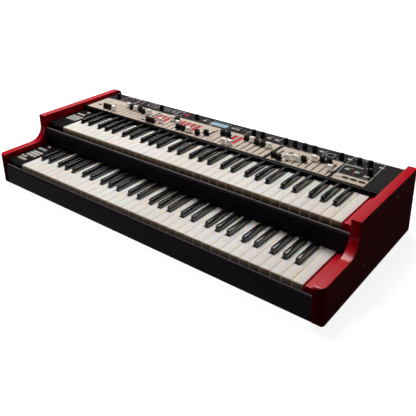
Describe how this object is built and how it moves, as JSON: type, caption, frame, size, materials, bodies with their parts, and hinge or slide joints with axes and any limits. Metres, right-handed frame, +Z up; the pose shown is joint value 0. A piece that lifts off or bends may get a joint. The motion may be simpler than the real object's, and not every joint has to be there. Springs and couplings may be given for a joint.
{
  "type": "combo organ",
  "caption": "Combo organ with two manuals of piano-size keys, red end cheeks, black rails, drawbars, knobs and a small display on a charcoal panel.",
  "frame": {"origin": "on the floor, under the middle of the case", "axes": "+X along the keys towards the treble, +Y towards the rear panel, +Z up"},
  "size_m": [0.9776, 0.443, 0.1672],
  "materials": {
    "red_lacquer": "satin red lacquer over wood",
    "red_plastic": "satin red moulding",
    "black_enamel": "satin black enamel on folded sheet",
    "black_moulding": "satin black moulding",
    "charcoal_panel": "fine-grained charcoal coat with beige print",
    "ivory_plastic": "moulded, warm white",
    "ebony_plastic": "moulded, glossy black",
    "aluminium_sheet": "bare folded aluminium sheet",
    "black_rubber": "matt",
    "board_green": "glass-epoxy board",
    "display_glass": "clear window over a blue display"
  },
  "bodies": {
    "case": {"left_cheek": "red_lacquer", "right_cheek": "red_lacquer", "bottom_pan": "aluminium_sheet", "foot_front_left": "black_rubber", "foot_front_right": "black_rubber", "foot_rear_left": "black_rubber", "foot_rear_right": "black_rubber", "front_rail": "black_enamel", "middle_rail": "black_enamel", "rear_panel": "black_enamel", "control_panel": "charcoal_panel", "display_lens": "display_glass", "lower_left_end_block": "black_moulding", "upper_left_end_block": "black_moulding", "lower_right_end_block": "red_plastic", "upper_right_end_block": "red_plastic", "lower_keybed": "aluminium_sheet", "upper_keybed": "aluminium_sheet", "drawbar_set_1": "ebony_plastic", "drawbar_set_2": "ebony_plastic", "drawbar_set_3": "ebony_plastic", "panel_board": "board_green", "main_board": "board_green", "power_supply": "aluminium_sheet"},
    "lower_white_comb_1": {"lower_white_comb_1": "ivory_plastic"},
    "lower_white_comb_2": {"lower_white_comb_2": "ivory_plastic"},
    "lower_white_comb_3": {"lower_white_comb_3": "ivory_plastic"},
    "lower_white_comb_4": {"lower_white_comb_4": "ivory_plastic"},
    "lower_white_comb_5": {"lower_white_comb_5": "ivory_plastic"},
    "lower_sharp_comb": {"lower_sharp_comb": "ebony_plastic"},
    "upper_white_comb_1": {"upper_white_comb_1": "ivory_plastic"},
    "upper_white_comb_2": {"upper_white_comb_2": "ivory_plastic"},
    "upper_white_comb_3": {"upper_white_comb_3": "ivory_plastic"},
    "upper_white_comb_4": {"upper_white_comb_4": "ivory_plastic"},
    "upper_white_comb_5": {"upper_white_comb_5": "ivory_plastic"},
    "upper_sharp_comb": {"upper_sharp_comb": "ebony_plastic"},
    "knob_01": {"knob_01": "ebony_plastic"},
    "knob_02": {"knob_02": "ebony_plastic"},
    "knob_03": {"knob_03": "ebony_plastic"},
    "knob_04": {"knob_04": "ebony_plastic"},
    "knob_05": {"knob_05": "ebony_plastic"},
    "knob_06": {"knob_06": "ebony_plastic"},
    "knob_07": {"knob_07": "ebony_plastic"},
    "knob_08": {"knob_08": "ebony_plastic"},
    "knob_09": {"knob_09": "ebony_plastic"},
    "knob_10": {"knob_10": "ebony_plastic"},
    "knob_11": {"knob_11": "ebony_plastic"},
    "knob_12": {"knob_12": "ebony_plastic"},
    "knob_13": {"knob_13": "ebony_plastic"},
    "drawbar_1": {"drawbar_1": "ebony_plastic"},
    "drawbar_2": {"drawbar_2": "ebony_plastic"},
    "drawbar_3": {"drawbar_3": "ivory_plastic"},
    "drawbar_4": {"drawbar_4": "ivory_plastic"},
    "drawbar_5": {"drawbar_5": "ebony_plastic"},
    "drawbar_6": {"drawbar_6": "ivory_plastic"},
    "drawbar_7": {"drawbar_7": "ebony_plastic"},
    "drawbar_8": {"drawbar_8": "ebony_plastic"},
    "drawbar_9": {"drawbar_9": "ivory_plastic"},
    "bass_drawbar_1": {"bass_drawbar_1": "ebony_plastic"},
    "bass_drawbar_2": {"bass_drawbar_2": "ebony_plastic"}
  },
  "joints": [
    {"name": "lower_white_comb_1_hinge", "type": "hinge", "parent": "case", "child": "lower_white_comb_1", "pos_m": [-0.4023, -0.0095, 0.0735], "axis": [1, 0, 0], "range_deg": [0, 2.84], "stiffness_Nm_per_rad": 10, "springref_deg": -5.73},
    {"name": "lower_white_comb_2_hinge", "type": "hinge", "parent": "case", "child": "lower_white_comb_2", "pos_m": [-0.2378, -0.0095, 0.0735], "axis": [1, 0, 0], "range_deg": [0, 2.84], "stiffness_Nm_per_rad": 10, "springref_deg": -5.73},
    {"name": "lower_white_comb_3_hinge", "type": "hinge", "parent": "case", "child": "lower_white_comb_3", "pos_m": [-0.0733, -0.0095, 0.0735], "axis": [1, 0, 0], "range_deg": [0, 2.84], "stiffness_Nm_per_rad": 10, "springref_deg": -5.73},
    {"name": "lower_white_comb_4_hinge", "type": "hinge", "parent": "case", "child": "lower_white_comb_4", "pos_m": [0.0912, -0.0095, 0.0735], "axis": [1, 0, 0], "range_deg": [0, 2.84], "stiffness_Nm_per_rad": 10, "springref_deg": -5.73},
    {"name": "lower_white_comb_5_hinge", "type": "hinge", "parent": "case", "child": "lower_white_comb_5", "pos_m": [0.2557, -0.0095, 0.0735], "axis": [1, 0, 0], "range_deg": [0, 2.84], "stiffness_Nm_per_rad": 10, "springref_deg": -5.73},
    {"name": "lower_sharp_comb_hinge", "type": "hinge", "parent": "case", "child": "lower_sharp_comb", "pos_m": [-0.4023, 0, 0.0675], "axis": [1, 0, 0], "range_deg": [0, 3.17], "stiffness_Nm_per_rad": 30, "springref_deg": -5.73},
    {"name": "upper_white_comb_1_hinge", "type": "hinge", "parent": "case", "child": "upper_white_comb_1", "pos_m": [-0.4023, 0.1353, 0.1345], "axis": [1, 0, 0], "range_deg": [0, 2.84], "stiffness_Nm_per_rad": 10, "springref_deg": -5.73},
    {"name": "upper_white_comb_2_hinge", "type": "hinge", "parent": "case", "child": "upper_white_comb_2", "pos_m": [-0.2378, 0.1353, 0.1345], "axis": [1, 0, 0], "range_deg": [0, 2.84], "stiffness_Nm_per_rad": 10, "springref_deg": -5.73},
    {"name": "upper_white_comb_3_hinge", "type": "hinge", "parent": "case", "child": "upper_white_comb_3", "pos_m": [-0.0733, 0.1353, 0.1345], "axis": [1, 0, 0], "range_deg": [0, 2.84], "stiffness_Nm_per_rad": 10, "springref_deg": -5.73},
    {"name": "upper_white_comb_4_hinge", "type": "hinge", "parent": "case", "child": "upper_white_comb_4", "pos_m": [0.0912, 0.1353, 0.1345], "axis": [1, 0, 0], "range_deg": [0, 2.84], "stiffness_Nm_per_rad": 10, "springref_deg": -5.73},
    {"name": "upper_white_comb_5_hinge", "type": "hinge", "parent": "case", "child": "upper_white_comb_5", "pos_m": [0.2557, 0.1353, 0.1345], "axis": [1, 0, 0], "range_deg": [0, 2.84], "stiffness_Nm_per_rad": 10, "springref_deg": -5.73},
    {"name": "upper_sharp_comb_hinge", "type": "hinge", "parent": "case", "child": "upper_sharp_comb", "pos_m": [-0.4023, 0.1448, 0.1285], "axis": [1, 0, 0], "range_deg": [0, 3.17], "stiffness_Nm_per_rad": 30, "springref_deg": -5.73},
    {"name": "knob_01_turn", "type": "hinge", "parent": "case", "child": "knob_01", "pos_m": [-0.42839, 0.1735, 0.151], "axis": [0, 0, 1], "range_deg": [-135, 135]},
    {"name": "knob_02_turn", "type": "hinge", "parent": "case", "child": "knob_02", "pos_m": [-0.24932, 0.1735, 0.151], "axis": [0, 0, 1], "range_deg": [-135, 135]},
    {"name": "knob_03_turn", "type": "hinge", "parent": "case", "child": "knob_03", "pos_m": [-0.11631, 0.1735, 0.151], "axis": [0, 0, 1], "range_deg": [-135, 135]},
    {"name": "knob_04_turn", "type": "hinge", "parent": "case", "child": "knob_04", "pos_m": [0.07475, 0.1735, 0.151], "axis": [0, 0, 1], "range_deg": [-135, 135]},
    {"name": "knob_05_turn", "type": "hinge", "parent": "case", "child": "knob_05", "pos_m": [0.10178, 0.1735, 0.151], "axis": [0, 0, 1], "range_deg": [-135, 135]},
    {"name": "knob_06_turn", "type": "hinge", "parent": "case", "child": "knob_06", "pos_m": [0.17063, 0.1735, 0.151], "axis": [0, 0, 1], "range_deg": [-135, 135]},
    {"name": "knob_07_turn", "type": "hinge", "parent": "case", "child": "knob_07", "pos_m": [0.19765, 0.1735, 0.151], "axis": [0, 0, 1], "range_deg": [-135, 135]},
    {"name": "knob_08_turn", "type": "hinge", "parent": "case", "child": "knob_08", "pos_m": [0.22468, 0.1735, 0.151], "axis": [0, 0, 1], "range_deg": [-135, 135]},
    {"name": "knob_09_turn", "type": "hinge", "parent": "case", "child": "knob_09", "pos_m": [0.25171, 0.1735, 0.151], "axis": [0, 0, 1], "range_deg": [-135, 135]},
    {"name": "knob_10_turn", "type": "hinge", "parent": "case", "child": "knob_10", "pos_m": [0.32267, 0.1735, 0.151], "axis": [0, 0, 1], "range_deg": [-135, 135]},
    {"name": "knob_11_turn", "type": "hinge", "parent": "case", "child": "knob_11", "pos_m": [0.36779, 0.1735, 0.151], "axis": [0, 0, 1], "range_deg": [-135, 135]},
    {"name": "knob_12_turn", "type": "hinge", "parent": "case", "child": "knob_12", "pos_m": [0.39459, 0.1735, 0.151], "axis": [0, 0, 1], "range_deg": [-135, 135]},
    {"name": "knob_13_turn", "type": "hinge", "parent": "case", "child": "knob_13", "pos_m": [0.41174, 0.133, 0.151], "axis": [0, 0, 1], "range_deg": [-135, 135]},
    {"name": "drawbar_1_slide", "type": "slide", "parent": "case", "child": "drawbar_1", "axis": [0, -1, 0], "range_m": [-0.04375, 0.00625]},
    {"name": "drawbar_2_slide", "type": "slide", "parent": "case", "child": "drawbar_2", "axis": [0, -1, 0], "range_m": [-0.05, 0]},
    {"name": "drawbar_3_slide", "type": "slide", "parent": "case", "child": "drawbar_3", "axis": [0, -1, 0], "range_m": [-0.0375, 0.0125]},
    {"name": "drawbar_4_slide", "type": "slide", "parent": "case", "child": "drawbar_4", "axis": [0, -1, 0], "range_m": [-0.03125, 0.01875]},
    {"name": "drawbar_5_slide", "type": "slide", "parent": "case", "child": "drawbar_5", "axis": [0, -1, 0], "range_m": [-0.025, 0.025]},
    {"name": "drawbar_6_slide", "type": "slide", "parent": "case", "child": "drawbar_6", "axis": [0, -1, 0], "range_m": [-0.00625, 0.04375]},
    {"name": "drawbar_7_slide", "type": "slide", "parent": "case", "child": "drawbar_7", "axis": [0, -1, 0], "range_m": [0, 0.05]},
    {"name": "drawbar_8_slide", "type": "slide", "parent": "case", "child": "drawbar_8", "axis": [0, -1, 0], "range_m": [0, 0.05]},
    {"name": "drawbar_9_slide", "type": "slide", "parent": "case", "child": "drawbar_9", "axis": [0, -1, 0], "range_m": [-0.03125, 0.01875]},
    {"name": "bass_drawbar_1_slide", "type": "slide", "parent": "case", "child": "bass_drawbar_1", "axis": [0, -1, 0], "range_m": [-0.04375, 0.00625]},
    {"name": "bass_drawbar_2_slide", "type": "slide", "parent": "case", "child": "bass_drawbar_2", "axis": [0, -1, 0], "range_m": [-0.03125, 0.01875]}
  ]
}
